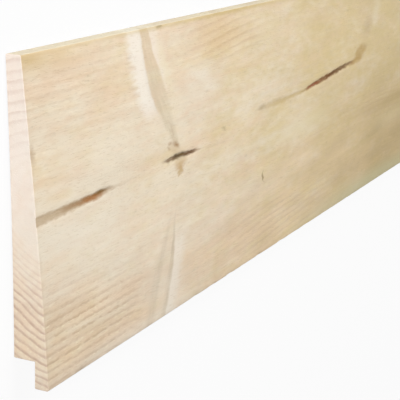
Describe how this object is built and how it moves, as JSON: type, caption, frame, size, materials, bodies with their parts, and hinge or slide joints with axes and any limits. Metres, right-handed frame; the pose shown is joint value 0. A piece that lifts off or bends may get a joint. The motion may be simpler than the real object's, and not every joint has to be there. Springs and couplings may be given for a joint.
{
  "type": "timber weatherboard plank",
  "caption": "Long tapered timber plank with a thin upper edge, a thick lower edge and a rebated lip behind it, for lapped wall cladding.",
  "frame": {"origin": "on the flat back that the plank lies on, under the middle of its box", "axes": "+X along the grain, +Y across the width from the thick lower edge to the thin upper edge, +Z out of the back towards the sloping front"},
  "size_m": [1.8, 0.195, 0.0239],
  "materials": {
    "sawn_spruce": "fine-sawn, untreated"
  },
  "bodies": {
    "root": {"weatherboard": "sawn_spruce"}
  },
  "joints": []
}
